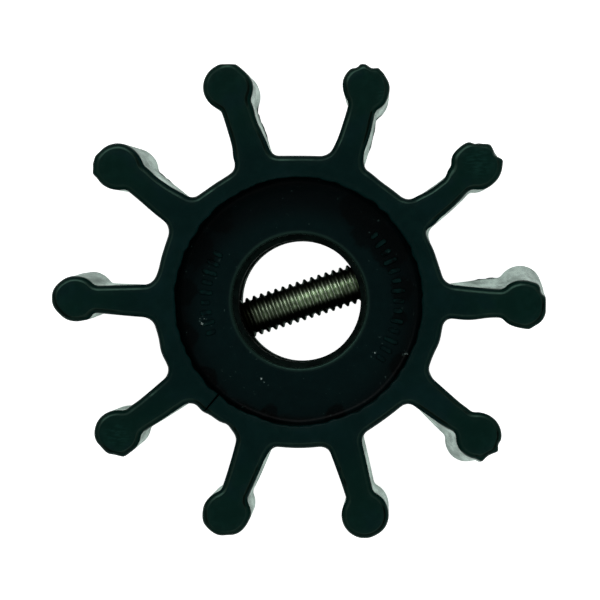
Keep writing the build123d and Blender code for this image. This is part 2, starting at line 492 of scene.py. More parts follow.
class Graph:
    """Builds a shader or geometry tree from expressions."""

    def __init__(self, tree):
        self.tree = tree

    def node(self, kind, settings=None, feeds=None, out=0):
        """Add a node, set it up, feed its sockets and hand back one of its outputs, if any."""
        made = self.tree.nodes.new(kind)
        for name, value in (settings or {}).items():
            setattr(made, name, value)
        for key, value in (feeds or {}).items():
            self.feed(made.inputs[key], value)
        return Sig(self, made.outputs[out]) if len(made.outputs) else made

    def feed(self, socket, value):
        """Link a signal to a socket, or set the socket's own value."""
        if isinstance(value, Sig):
            self.tree.links.new(value.socket, socket)
        elif socket.type == "RGBA" and len(value) == 3:
            socket.default_value = (*value, 1.0)
        else:
            socket.default_value = value

    def sum_up(self, operation, first, second):
        """A Math node for values, or a Vector Math node where either side is a vector."""
        pair = (first, second)
        is_vector = any(
            isinstance(value, Sig) and value.socket.type in {"VECTOR", "RGBA"}
            or isinstance(value, (tuple, Vector))
            for value in pair
        )
        if not is_vector:
            return self.node("ShaderNodeMath", {"operation": operation}, {0: first, 1: second})
        if operation == "MULTIPLY":
            for vector, factor in (pair, pair[::-1]):
                plain = isinstance(factor, (int, float))
                if plain or isinstance(factor, Sig) and factor.socket.type == "VALUE":
                    return self.node(
                        "ShaderNodeVectorMath", {"operation": "SCALE"}, {0: vector, "Scale": factor}
                    )
        return self.node("ShaderNodeVectorMath", {"operation": operation}, {0: first, 1: second})

    def math(self, operation, *values):
        """A Math node of any operation."""
        return self.node("ShaderNodeMath", {"operation": operation}, dict(enumerate(values)))

    def clamp(self, value, low=0.0, high=1.0):
        """A value kept between two limits."""
        return self.node("ShaderNodeClamp", feeds={"Value": value, "Min": low, "Max": high})

    def step(self, value, low, high):
        """0 below low, 1 above high, and smooth between."""
        return self.node(
            "ShaderNodeMapRange", {"interpolation_type": "SMOOTHSTEP"},
            {"Value": value, "From Min": low, "From Max": high, "To Min": 0.0, "To Max": 1.0},
        )

    def parts(self, vector):
        """The X, Y and Z of a vector."""
        split = self.node("ShaderNodeSeparateXYZ", feeds={0: vector})
        return split.other("X"), split.other("Y"), split.other("Z")

    def mix(self, factor, first, second):
        """Blend two colours."""
        blend = self.node("ShaderNodeMix", {"data_type": "RGBA"}, {"Factor": factor}).socket.node
        colours = [socket for socket in blend.inputs if socket.type == "RGBA"]
        self.feed(colours[0], first)
        self.feed(colours[1], second)
        return Sig(self, next(socket for socket in blend.outputs if socket.type == "RGBA"))

    def stretch(self, vector, factors):
        """A vector whose parts are each scaled by a factor."""
        return self.node("ShaderNodeVectorMath", {"operation": "MULTIPLY"}, {0: vector, 1: factors})

    def radius(self, x, y):
        """Distance from the bore's axis."""
        return self.math("SQRT", x * x + y * y)

    def speckle(self, where, size, detail=3.0, roughness=0.55):
        """Cloudy noise whose features are about as large as size."""
        return self.node(
            "ShaderNodeTexNoise", {"noise_dimensions": "3D"},
            {"Vector": where, "Scale": 1.0 / size, "Detail": detail, "Roughness": roughness},
        )


def new_material(name):
    """An empty node material and its graph."""
    material = bpy.data.materials.new(name)
    material.use_nodes = True
    material.node_tree.nodes.clear()
    return material, Graph(material.node_tree)


def end_material(g, strength, distance, height, feeds):
    """End a material in a principled surface with a bump and the other sockets' feeds."""
    bump = g.node(
        "ShaderNodeBump",
        feeds={"Strength": strength, "Distance": distance, "Height": height}, out="Normal",
    )
    shader = g.node("ShaderNodeBsdfPrincipled", feeds={**feeds, "Normal": bump})
    g.node("ShaderNodeOutputMaterial", feeds={"Surface": shader})


# ---------------------------------------------------------------- materials

def rubber_material(rubber):
    """Dark blue-green moulded rubber: satin grain, grey bloom on the wear faces, pale specks."""
    material, g = new_material("moulded_rubber")
    place = g.node("ShaderNodeTexCoord", out="Object")
    x, y, z = g.parts(place)
    radius = g.radius(x, y)
    height = g.math("ABSOLUTE", z)
    sunk = HALF_WIDTH - height
    floor_level = HALF_WIDTH - rubber.recess_depth
    recess_radius = rubber.hub_across_flats / 2 - rubber.rim_wall
    lip_radius = BORE_RADIUS + rubber.lip_setback

    cloud = g.speckle(place, 4 * MM, 4.0, 0.6)
    mottle = g.speckle(place, 0.9 * MM, 3.0, 0.6)
    drift = g.speckle(place, 6.5 * MM, 2.0, 0.5)
    grain = g.speckle(place, 0.12 * MM, 2.0, 0.5)

    # where on the moulding a point lies
    wander = radius + 1.1 * MM * (mottle - 0.5) + 1.6 * MM * (cloud - 0.5)
    below = g.step(sunk, 0.05 * MM, 0.30 * MM)
    on_face = 1.0 - below
    in_recess = below * (1.0 - g.step(radius, recess_radius, recess_radius + 0.2 * MM))
    # painted shade: a dark ring at the foot of the recess wall, heaviest towards -X, where the rim
    # shades the floor
    wall_shade = in_recess * g.step(wander, recess_radius - 1.1 * MM, recess_radius - 0.2 * MM)
    wall_shade = wall_shade * (0.3 + 0.7 * g.step(-x, -6 * MM, 4 * MM))
    on_lip = in_recess * (1.0 - g.step(radius, lip_radius + 0.15 * MM, lip_radius + 0.5 * MM))
    # painted shade: 1 by the lip, falling to 0 towards the recess wall and towards +Y, where the
    # wall and the rim shade the floor
    inner = 1.0 - g.step(wander + 0.16 * y, lip_radius + 2.2 * MM, recess_radius - 0.6 * MM)
    at_tip = g.step(radius, rubber.tip_diameter / 2 - 4.6 * MM, rubber.tip_diameter / 2)
    on_hub = 1.0 - g.step(radius, 15.4 * MM, 17.0 * MM)

    def near(spots, level):
        """1 in the middle of any of the spots at a height, fading to 0 at their radius."""
        found = 0.0
        for px, py, size in spots:
            spot = (px * MM, py * MM, level)
            away = g.node(
                "ShaderNodeVectorMath", {"operation": "DISTANCE"}, {0: place, 1: spot}, out="Value"
            )
            found = found + (1.0 - g.step(away, 0.2 * size * MM, size * MM))
        return g.clamp(found)

    # bloom, grit, damp stains and scuffs
    bloom = 0.005 + 0.035 * g.step(cloud, 0.42, 0.72) + 0.02 * g.step(mottle, 0.45, 0.75)
    bloom = bloom + 0.03 * at_tip * g.step(mottle, 0.35, 0.65)
    bloom = bloom * (1.0 - 0.8 * in_recess)
    crumbs = g.speckle(place, 0.45 * MM, 3.0, 0.65)
    gritty = near(GRIT, floor_level)
    specks = g.step(crumbs + 0.16 * gritty, 0.68, 0.76) * in_recess
    chalky = g.step(crumbs + 0.22 * gritty, 0.80, 0.86) * in_recess
    blotch = g.speckle(place, 1.5 * MM, 3.0, 0.6)
    damp = near(STAINS, floor_level) + 1.6 * (blotch - 0.5)
    stained = in_recess * g.step(damp, 0.25, 0.60)
    scratch = g.speckle(g.stretch(place, (0.35, 1.6, 1.0)), 0.30 * MM, 3.0, 0.6)
    scuffed = near(SCUFFS, HALF_WIDTH) * on_face * g.step(scratch, 0.44, 0.62)
    raised = floor_level + 0.5 * rubber.mark_height
    on_mark = in_recess * g.step(height, raised, raised + 0.4 * rubber.mark_height)
    on_mark = on_mark * g.step(radius, 8.5 * MM, 8.8 * MM) * (1.0 - wall_shade)
    on_mark = on_mark * (1.0 - g.step(radius, recess_radius - 1.2 * MM, recess_radius - 0.9 * MM))

    # colour, from the clean moulding to what lies on it, with painted shade in the recess and at
    # its wall and a painted highlight on the lip
    outer = g.step(radius + 5 * MM * (drift - 0.5), 15 * MM, 21 * MM)
    tint = g.mix(outer, HUB_TINT, tuple(rubber.colour))
    tint = g.mix(0.8 * g.step(cloud, 0.50, 0.66), tint, CLOUD_TINT)
    # painted shade: the recess floor is mixed from a dark tint near the wall and towards +Y to a
    # lighter one by the lip, with random mottle
    pocket_lit = inner * (0.75 + 0.5 * (mottle - 0.5))
    shaded_pocket = g.mix(pocket_lit, RECESS_SHADE, RECESS_LIT)
    tint = g.mix(in_recess, tint, shaded_pocket)
    # the painted shade at the recess wall and the real stains share one dark tint
    tint = g.mix(g.clamp(wall_shade + 0.7 * stained), tint, STAIN_AND_SHADE_TINT)
    # painted highlight: a lighter tint on the lip for the bright ring along its edge
    tint = g.mix(0.6 * on_lip, tint, LIP_HIGHLIGHT_TINT)
    tint = g.mix(on_mark * g.step(mottle, 0.40, 0.60), tint, MARK_TINT)
    colour = g.mix(g.clamp(bloom + 0.12 * scuffed), tint, tuple(rubber.bloom))
    colour = g.mix(0.45 * specks, colour, GRIT_TINT)
    colour = g.mix(0.8 * chalky, colour, CHALK_TINT)

    # the shine along the moulded edges and the lip, and the drawn grain down the sides
    on_round = g.step(sunk, 0.002 * MM, 0.012 * MM)
    on_round = on_round * (1.0 - g.step(sunk, 0.05 * MM, 0.12 * MM))
    on_round = on_round * g.step(radius, recess_radius + 0.6 * MM, recess_radius + 1.0 * MM)
    on_round = on_round * (1.0 - 0.7 * on_hub * g.step(g.math("ABSOLUTE", x), 9 * MM, 12 * MM))
    gloss = g.clamp(on_round * (0.25 + 1.3 * g.step(cloud, 0.38, 0.62)) + 0.6 * on_lip)
    colour = g.mix(gloss, colour, SHINE_TINT)
    along = g.stretch(place, (1, 1, 0.10))
    drawn = g.speckle(along, 0.5 * MM, 2.0, 0.5)
    polish = g.speckle(along, 1.6 * MM, 3.0, 0.6) - 0.5
    roughness = 0.27 + 0.08 * (mottle - 0.5) + 0.06 * on_face + 0.08 * in_recess * (1.0 - on_lip)
    roughness = roughness - 0.55 * polish * below * (1.0 - in_recess)
    relief = 0.7 * grain + 0.8 * mottle + 0.5 * specks + 1.5 * drawn * below
    end_material(g, 0.35, 0.03 * MM, relief, {
        "Base Color": colour, "Roughness": g.clamp(roughness, 0.2, 0.9), "IOR": 1.5,
        "Specular IOR Level": 0.05, "Metallic": gloss,
    })
    return material


def bush_material(bush):
    """Tarnished bush metal with fine boring rings and dark stains, and painted shade over the front
    of the bore.
    """
    material, g = new_material("tarnished_bush")
    place = g.node("ShaderNodeTexCoord", out="Object")
    x, y, z = g.parts(place)
    stain = g.speckle(place, 1.6 * MM, 5.0, 0.6)
    fine = g.speckle(place, 0.2 * MM, 2.0, 0.5)
    rings = g.math("SINE", z * (2 * pi / (0.16 * MM)) + 3.0 * stain)
    in_bore = 1.0 - g.step(g.radius(x, y), BORE_RADIUS + 0.02 * MM, BORE_RADIUS + 0.10 * MM)
    # painted shade: the bore in front of the rear land is painted dark and matt, where the front of
    # the hub shades it
    shaded = in_bore * g.step(z, -2.6 * MM, -2.3 * MM)
    # the real stains and the painted shade darken the bush together
    dirt_and_shade = g.clamp(g.step(stain, 0.32, 0.56) + shaded)
    grime_and_shade = g.mix(g.step(stain, 0.40, 0.62), GRIME_LIGHT, GRIME_DARK)
    grime_and_shade = g.mix(shaded, grime_and_shade, LAND_SHADE)
    colour = g.mix(dirt_and_shade, tuple(bush.colour), grime_and_shade)
    end_material(g, 0.4, 0.02 * MM, 0.25 * rings + 0.8 * fine, {
        "Base Color": colour, "Metallic": 0.75 * (1.0 - dirt_and_shade),
        "Roughness": g.clamp(0.42 + 0.5 * dirt_and_shade + 0.1 * (fine - 0.5)),
        "Specular IOR Level": 0.12,
    })
    return material


def screw_material(screw):
    """Stained steel with painted shade on its sides and ends, leaving one bright band as a painted
    highlight.
    """
    material, g = new_material("threaded_steel")
    place = g.node("ShaderNodeTexCoord", out="Object")
    x, y, _ = g.parts(place)
    across = x * -sin(screw.turn) + y * cos(screw.turn)
    along = x * cos(screw.turn) + y * sin(screw.turn)
    stain = g.speckle(place, 1.3 * MM, 4.0, 0.6)
    fine = g.speckle(place, 0.16 * MM, 3.0, 0.6)
    wander = across + 0.5 * MM * (stain - 0.5)
    # painted highlight and shade: the steel keeps its bright colour only in a band just to the -Y
    # side of the axis, where the lamp's reflection falls; the sides are painted dark, the -X end
    # darker still and the -X half dimmer, with real stains mixed in
    highlight_band = g.step(wander, -1.15 * MM, -0.40 * MM) * (1.0 - g.step(wander, -0.10 * MM, 1.6 * MM))
    highlight_band = highlight_band * g.step(along + 0.6 * MM * (stain - 0.5), -5.9 * MM, -4.2 * MM)
    highlight_band = highlight_band * (0.60 + 0.40 * g.step(along, -3 * MM, 1.5 * MM))
    dirt_and_shade = g.clamp(1.0 - highlight_band * (1.15 - 0.6 * g.step(stain, 0.48, 0.68)))
    colour = g.mix(dirt_and_shade, tuple(screw.colour), SCREW_SHADE_AND_GRIME)
    end_material(g, 0.35, 0.015 * MM, fine, {
        "Base Color": colour, "Metallic": 1.0,
        "Roughness": g.clamp(0.40 + 0.10 * dirt_and_shade + 0.15 * (fine - 0.5)),
    })
    return material


# ---------------------------------------------------------------- mesh helpers

def add_object(name, data):
    """A new object at the origin that shows a mesh, a lamp or a camera."""
    made = bpy.data.objects.new(name, data)
    bpy.context.scene.collection.objects.link(made)
    return made


def edit_mesh(mesh, change):
    """Load a mesh for editing, change it and store it again."""
    work = bmesh.new()
    work.from_mesh(mesh)
    change(work)
    work.to_mesh(mesh)
    work.free()


def face_outwards(mesh):
    """Turn every face of a closed mesh outwards."""
    edit_mesh(mesh, lambda work: bmesh.ops.recalc_face_normals(work, faces=work.faces))


def mesh_from(name, corners, faces):
    """A mesh from lists of corners and faces, with doubled corners merged."""
    mesh = bpy.data.meshes.new(name)
    mesh.from_pydata([tuple(corner) for corner in corners], [], faces)
    edit_mesh(mesh, lambda work: bmesh.ops.remove_doubles(
        work, verts=work.verts, dist=MERGE_DISTANCE
    ))
    mesh.validate()
    return mesh


def bake_modifiers(piece):
    """Put a piece's evaluated shape into its own mesh and drop the modifiers."""
    graph = bpy.context.evaluated_depsgraph_get()
    mesh = bpy.data.meshes.new_from_object(piece.evaluated_get(graph), depsgraph=graph)
    piece.modifiers.clear()
    piece.data = mesh
    return mesh


def cut(piece, tool):
    """Take a tool's volume out of a piece and delete the tool."""
    for material in piece.data.materials[:1]:
        tool.data.materials.append(material)
    modifier = piece.modifiers.new("cut", "BOOLEAN")
    modifier.operation = "DIFFERENCE"
    modifier.solver = "EXACT"
    modifier.object = tool
    bake_modifiers(piece)
    bpy.data.objects.remove(tool)


def plain_shape(name, make):
    """A new object whose mesh is one of the plain shapes."""
    mesh = bpy.data.meshes.new(name)
    edit_mesh(mesh, make)
    return add_object(name, mesh)


def shade_by_angle(mesh, angle):
    """Smooth shading with creases kept where faces meet at more than an angle."""
    mesh.shade_smooth()
    mesh.set_sharp_from_angle(angle=angle)


def grid_faces(rows, columns, start=0):
    """Quads between neighbouring rows of corners that are numbered row by row."""
    faces = []
    for row in range(rows - 1):
        for column in range(columns - 1):
            corner = start + row * columns + column
            faces.append((corner, corner + columns, corner + columns + 1, corner + 1))
    return faces


def run_tree(name, piece, tree, values):
    """Run a geometry tree on a piece with its named inputs set, and keep the result as mesh."""
    modifier = piece.modifiers.new(name, "NODES")
    modifier.node_group = tree
    sockets = {item.name: item.identifier for item in tree.interface.items_tree}
    for label, value in values.items():
        modifier[sockets[label]] = value
    mesh = bake_modifiers(piece)
    finishes = [finish for finish in mesh.materials if finish]
    mesh.materials.clear()
    for finish in finishes[:1]:
        mesh.materials.append(finish)
    mesh.polygons.foreach_set("material_index", [0] * len(mesh.polygons))
    return mesh


def end_tree(g, shape, entry):
    """End a tree with plain mesh in the finish that its input names."""
    shape = g.node("GeometryNodeRealizeInstances", feeds={"Geometry": shape})
    finished = g.node(
        "GeometryNodeSetMaterial", feeds={"Geometry": shape, "Material": entry.other("Finish")}
    )
    g.node("NodeGroupOutput", feeds={"Geometry": finished})


def new_geometry_tree(name, inputs):
    """A geometry tree with Geometry in and out and the named inputs given as (name, type)."""
    tree = bpy.data.node_groups.new(name, "GeometryNodeTree")
    tree.is_modifier = True
    tree.interface.new_socket("Geometry", in_out="INPUT", socket_type="NodeSocketGeometry")
    for label, kind in inputs:
        tree.interface.new_socket(label, in_out="INPUT", socket_type=kind)
    tree.interface.new_socket("Geometry", in_out="OUTPUT", socket_type="NodeSocketGeometry")
    graph = Graph(tree)
    entry = graph.node("NodeGroupInput")
    return tree, graph, entry


# ---------------------------------------------------------------- rubber

def arc(centre, radius, start, sweep, step, outwards):
    """Points and surface directions along an arc, its ends included."""
    count = max(2, ceil(abs(sweep) * radius / step))
    angles = start + sweep * np.arange(count + 1) / count
    rays = np.stack([np.cos(angles), np.sin(angles)], axis=1)
    return centre + radius * rays, rays * outwards


def straight(first, last, normal, step):
    """Points and surface directions along a straight run, its ends included."""
    count = max(1, ceil(hypot(*(last - first)) / step))
    share = (np.arange(count + 1) / count)[:, None]
    return first + share * (last - first), np.tile(normal, (count + 1, 1))


def blade_outline(rubber):
    """Outline of one straight blade with half a hub flat each side, and which way it faces.

    It runs anticlockwise about the hub, from the middle of one flat to the middle of the next.
    """
    apothem = rubber.hub_across_flats / 2
    bulb_radius = rubber.bulb_diameter / 2
    half_pitch = pi / rubber.blade_count
    bulb = np.array([rubber.tip_diameter / 2 - bulb_radius, 0.0])
    flank_start = np.array([apothem, rubber.stem_at_hub / 2])
    run = bulb + (0.0, rubber.stem_at_bulb / 2) - flank_start
    run /= hypot(*run)
    flank_normal = np.array([-run[1], run[0]])
    flat_normal = np.array([cos(half_pitch), sin(half_pitch)])

    offsets = (
        flank_start @ flank_normal + rubber.root_fillet, apothem + rubber.root_fillet
    )
    root = np.linalg.solve(np.array([flank_normal, flat_normal]), offsets)
    beside = rubber.neck_fillet - (bulb - flank_start) @ flank_normal
    behind = sqrt((bulb_radius + rubber.neck_fillet) ** 2 - beside**2)
    neck = bulb + flank_normal * beside - run * behind

    bulb_end = atan2(neck[1] - bulb[1], neck[0] - bulb[0])
    neck_start = bulb_end - pi
    neck_end = atan2(-flank_normal[1], -flank_normal[0])
    root_end = atan2(-flat_normal[1], -flat_normal[0])
    flat_middle = apothem * flat_normal
    pieces = (
        arc(bulb, bulb_radius, 0.0, bulb_end, 0.22 * MM, 1.0),
        arc(neck, rubber.neck_fillet, neck_start, neck_end - neck_start, 0.2 * MM, -1.0),
        straight(
            neck - flank_normal * rubber.neck_fillet, root - flank_normal * rubber.root_fillet,
            flank_normal, 0.36 * MM,
        ),
        arc(root, rubber.root_fillet, neck_end, root_end - neck_end, 0.24 * MM, -1.0),
        straight(root - flat_normal * rubber.root_fillet, flat_middle, flat_normal, 0.4 * MM),
    )
    points = np.vstack([pieces[0][0]] + [piece[0][1:] for piece in pieces[1:]])
    normals = np.vstack([pieces[0][1]] + [piece[1][1:] for piece in pieces[1:]])
    mirror = np.array([1.0, -1.0])
    return (
        np.vstack([points[::-1] * mirror, points[1:]]),
        np.vstack([normals[::-1] * mirror, normals[1:]]),
    )


def round_levels(size, steps):
    """How far in and how far down each step of a quarter round lies, from the face outwards."""
    turns = np.linspace(0.0, pi / 2, steps + 1)
    return [(size * (1 - sin(turn)), size * (1 - cos(turn))) for turn in turns]


def wall_levels(rubber):
    """Inset and height of each row of the outer wall, from the front face to the back face."""
    ends = round_levels(rubber.edge_round, EDGE_STEPS)
    front = [(inset, HALF_WIDTH - drop) for inset, drop in ends]
    side = HALF_WIDTH - rubber.edge_round
    inner = [(0.0, height) for height in np.linspace(side, -side, SIDE_ROWS)[1:-1]]
    inner += [(0.0, -side + 3 * FLASH_RISE), (0.0, -side + FLASH_RISE)]
    back = [(inset, -height) for inset, height in reversed(front)]
    return front + inner + back


def flute_centre(bush):
    """Distance of a flute's centre from the bore's axis."""
    return BUSH_RADIUS + bush.flute_radius - bush.flute_depth


def flute_columns(bush, half_pitch):
    """Angles of the columns that divide one pitch of the hub, finer across the flute."""
    centre = flute_centre(bush)
    edge = acos(
        (centre**2 + BUSH_RADIUS**2 - bush.flute_radius**2) / (2 * centre * BUSH_RADIUS)
    )
    outer = np.linspace(edge, half_pitch, 12)
    return np.concatenate([-outer[::-1], np.linspace(-edge, edge, 13)[1:-1], outer])


def flute_radius_at(bush, angle):
    """Radius of the bush's outer skin at an angle from the middle of a flute."""
    centre = flute_centre(bush)
    reach = bush.flute_radius**2 - (centre * sin(angle)) ** 2
    if reach <= 0:
        return BUSH_RADIUS
    return min(BUSH_RADIUS, centre * cos(angle) - sqrt(reach))


def hollow_profile(rubber):
    """Radius and height down the front half of the hollow; the last rows hug the bush."""
    recess_radius = rubber.hub_across_flats / 2 - rubber.rim_wall
    floor = HALF_WIDTH - rubber.recess_depth
    lip_radius = BORE_RADIUS + rubber.lip_setback
    rows = [
        (recess_radius + inset, HALF_WIDTH - drop)
        for inset, drop in round_levels(rubber.recess_round, RECESS_EDGE_STEPS)
    ]
    wall_foot = floor + rubber.floor_fillet
    rows += [(recess_radius, z) for z in np.linspace(rows[-1][1], wall_foot, 6)[1:]]
    for turn in np.linspace(0.0, pi / 2, 7)[1:]:
        rows.append((
            recess_radius - rubber.floor_fillet * (1 - cos(turn)),
            wall_foot - rubber.floor_fillet * sin(turn),
        ))
    edge = lip_radius + rubber.lip_round
    rows += [(r, floor) for r in np.linspace(rows[-1][0], edge, 14)[1:]]
    for turn in np.linspace(0.0, pi / 2, 5)[1:]:
        rows.append((
            edge - rubber.lip_round * sin(turn), floor - rubber.lip_round * (1 - cos(turn))
        ))
    rows += [(lip_radius, BUSH_HALF_LENGTH), (BUSH_RADIUS - LIP_BACK_EDGE, BUSH_HALF_LENGTH)]
    return rows


def sector_mesh(rubber, bush):
    """One pitch of the moulding: a straight blade on +X, half a flat each side, and its hollow."""
    half_pitch = pi / rubber.blade_count
    points, normals = blade_outline(rubber)
    levels = wall_levels(rubber)
    corners = []
    for inset, height in levels:
        row = points - normals * inset
        corners += [(px, py, height) for px, py in row]
    faces = grid_faces(len(levels), len(points))

    angles = flute_columns(bush, half_pitch)
    half = hollow_profile(rubber)
    hollow_start = len(corners)
    skin = [flute_radius_at(bush, angle) for angle in angles]
    cavity = np.linspace(BUSH_HALF_LENGTH, -BUSH_HALF_LENGTH, CAVITY_ROWS)
    rows = [([radius] * len(angles), height) for radius, height in half]
    rows += [(skin, height) for height in cavity]
    rows += [([radius] * len(angles), -height) for radius, height in reversed(half)]
    for radii, height in rows:
        corners += [
            (radius * cos(angle), radius * sin(angle), height)
            for radius, angle in zip(radii, angles)
        ]
    faces += [face[::-1] for face in grid_faces(len(rows), len(angles), hollow_start)]

    hollow_edge = [corners[hollow_start + column][:2] for column in range(len(angles))]
    cap_corners, cap_faces = cap(points - normals * rubber.edge_round, np.array(hollow_edge))
    for side in (1, -1):
        start = len(corners)
        corners += [(px, py, side * HALF_WIDTH) for px, py in cap_corners]
        faces += [tuple(start + corner for corner in face[::side]) for face in cap_faces]
    return mesh_from("blade_sector", corners, faces)


def cap(outline, inner):
    """Flat corners and triangles between the outline and the hollow's edge, for one pitch."""
    shares = (np.arange(1, CAP_RIM_STEPS) / CAP_RIM_STEPS)[:, None]
    left = inner[0] + shares * (outline[0] - inner[0])
    right = outline[-1] + shares * (inner[-1] - outline[-1])
    border = np.vstack([outline, right, inner[::-1], left])

    low, high = border.min(axis=0), border.max(axis=0)
    filling = []
    for row, py in enumerate(np.arange(low[1], high[1], CAP_SPACING * sqrt(3) / 2)):
        for px in np.arange(low[0] + (row % 2) * CAP_SPACING / 2, high[0], CAP_SPACING):
            filling.append((px, py))
    filling = np.array(filling)
    inside = np.zeros(len(filling), dtype=bool)
    nearest = np.full(len(filling), 1.0)
    for first, last in zip(border, np.roll(border, -1, axis=0)):
        run = last - first
        crosses = (first[1] > filling[:, 1]) != (last[1] > filling[:, 1])
        if run[1]:
            reach = first[0] + (filling[:, 1] - first[1]) * run[0] / run[1]
            inside ^= crosses & (filling[:, 0] < reach)
        share = np.clip((filling - first) @ run / (run @ run), 0, 1)
        gap = np.hypot(*(filling - first - share[:, None] * run).T)
        nearest = np.minimum(nearest, gap)
    filling = filling[inside & (nearest > 0.45 * CAP_SPACING)]

    every = [Vector(point) for point in border] + [Vector(point) for point in filling]
    rims = [(index, (index + 1) % len(border)) for index in range(len(border))]
    result = delaunay_2d_cdt(every, rims, [list(range(len(border)))], 1, 1e-9)
    places, triangles = result[0], result[2]
    upward = []
    for face in triangles:
        a, b, c = (places[corner] for corner in face)
        turn = (b - a).cross(c - a)
        upward.append(tuple(face) if turn > 0 else tuple(face[::-1]))
    return [tuple(place) for place in places], upward


def blade_tree():
    """Places a moulded pitch per carrier point, leans, bows and stretches it, and turns it home."""
    tree, g, entry = new_geometry_tree("blade_ring", (
        ("Sector", "NodeSocketObject"), ("Finish", "NodeSocketMaterial"),
        ("Width", "NodeSocketFloat"), ("Root radius", "NodeSocketFloat"),
        ("Reach", "NodeSocketFloat"),
    ))
    sector = entry.other("Sector")
    sector = g.node("GeometryNodeObjectInfo", feeds={"Object": sector}, out="Geometry")
    ring = g.node(
        "GeometryNodeInstanceOnPoints",
        feeds={"Points": entry.other("Geometry"), "Instance": sector},
    )
    ring = g.node("GeometryNodeRealizeInstances", feeds={"Geometry": ring})

    def named(label):
        """A number that the carrier point holds for its blade."""
        return g.node("GeometryNodeInputNamedAttribute", {"data_type": "FLOAT"}, {"Name": label})

    place = g.node("GeometryNodeInputPosition")
    x, y, z = g.parts(place)
    root, reach = entry.other("Root radius"), entry.other("Reach")
    share = 0.5 - z / entry.other("Width")
    moved = named("front_set") + (named("back_set") - named("front_set")) * share
    along = g.clamp((x - root) / reach)
    bowed = y + named("bow") * 4.0 * along * (1.0 - along)
    longer = named("front_stretch") + (named("back_stretch") - named("front_stretch")) * share
    stretched = x + longer * along
    place = g.node("ShaderNodeCombineXYZ", feeds={"X": stretched, "Y": bowed, "Z": z})
    weight = g.step(x, root - 0.2 * MM, root + 1.3 * MM)
    pivot = g.node("ShaderNodeCombineXYZ", feeds={"X": root})
    leaned = g.node(
        "ShaderNodeVectorRotate", {"rotation_type": "Z_AXIS"},
        {"Vector": place, "Center": pivot, "Angle": g.math("ARCSINE", moved / reach) * weight},
    )
    turned = g.node(
        "ShaderNodeVectorRotate", {"rotation_type": "Z_AXIS"},
        {"Vector": leaned, "Angle": named("turn")},
    )
    ring = g.node("GeometryNodeSetPosition", feeds={"Geometry": ring, "Position": turned})
    ring = g.node(
        "GeometryNodeMergeByDistance", feeds={"Geometry": ring, "Distance": MERGE_DISTANCE}
    )
    end_tree(g, ring, entry)
    return tree


def dent(places, centre, amount, spread, floor):
    """How far each place moves for a mark: full at its centre, and only above a height."""
    away = np.hypot(*(places[:, :2] - centre).T)
    fade = np.clip((places[:, 2] / MM - floor) / 2.0, 0, 1)
    return amount * MM * np.exp(-0.5 * (away / (spread * MM)) ** 2) * fade


def bulb_centres(rubber, share):
    """Middle of each blade's bulb at the height of each place, where share is 1 at the back."""
    apothem = rubber.hub_across_flats / 2
    reach = rubber.tip_diameter / 2 - rubber.bulb_diameter / 2 - apothem
    bulbs = []
    for blade, (front, back, _, front_stretch, back_stretch, _, _) in enumerate(BLADE_SETS):
        lean = np.arcsin((front + (back - front) * share) * MM / reach)
        length = reach + (front_stretch + (back_stretch - front_stretch) * share) * MM
        bulb = np.stack([apothem + length * np.cos(lean), length * np.sin(lean)], axis=1)
        home = blade * 2 * pi / rubber.blade_count
        bulbs.append(bulb @ np.array([[cos(home), sin(home)], [-sin(home), cos(home)]]))
    return bulbs


def swell_bulbs(push, places, rubber, bulbs, share):
    """Add to push the swelling and shrinking of the bulbs."""
    bulb_radius = rubber.bulb_diameter / 2
    for bulb, (_, _, _, _, _, front_swell, back_swell) in zip(bulbs, BLADE_SETS):
        swell = front_swell + (back_swell - front_swell) * share
        ray = places[:, :2] - bulb
        away = np.hypot(*ray.T)
        fade = np.clip((1.5 * bulb_radius - away) / (0.5 * bulb_radius), 0, 1)
        push += (swell * MM * fade / np.maximum(away, bulb_radius))[:, None] * ray


def dent_skin(push, places, rubber, bulbs):
    """Add to push the marks on the bulbs, the stems and the hub's flats."""
    bulb_radius = rubber.bulb_diameter / 2
    pitch = 2 * pi / rubber.blade_count
    for blade, around, amount, spread, floor in BULB_MARKS:
        way = blade * pitch + radians(around)
        aim = np.array([cos(way), sin(way)])
        push += dent(places, bulbs[blade] + aim * bulb_radius, amount, spread, floor)[:, None] * aim
    for blade, out, aside, amount, spread, floor in STEM_MARKS:
        home = blade * pitch
        beside = np.array([-sin(home), cos(home)])
        centre = (out * np.array([cos(home), sin(home)]) + aside * beside) * MM
        outwards = beside if aside > 0 else -beside
        push += dent(places, centre, amount, spread, floor)[:, None] * outwards
    for way, amount, spread, floor in HUB_MARKS:
        way = radians(way)
        flat = (way // pitch + 0.5) * pitch
        aim = np.array([cos(way), sin(way)])
        centre = aim * (rubber.hub_across_flats / 2) / cos(way - flat)
        push += dent(places, centre, amount, spread, floor)[:, None] * aim


def chip_recess_edge(push, places, recess_radius):
    """Add to push the ragged edge of the recess in each face."""
    far = np.hypot(*places[:, :2].T)
    ragged = np.clip(1 - np.abs(far - recess_radius) / (0.6 * MM), 0, 1)
    ragged *= np.clip(1 - (HALF_WIDTH - np.abs(places[:, 2])) / (1.5 * MM), 0, 1)
    for index in np.flatnonzero(ragged):
        chip = noise.noise(Vector(places[index]) / (0.8 * MM))
        push[index] += 0.20 * MM * ragged[index] * chip * places[index, :2] / far[index]


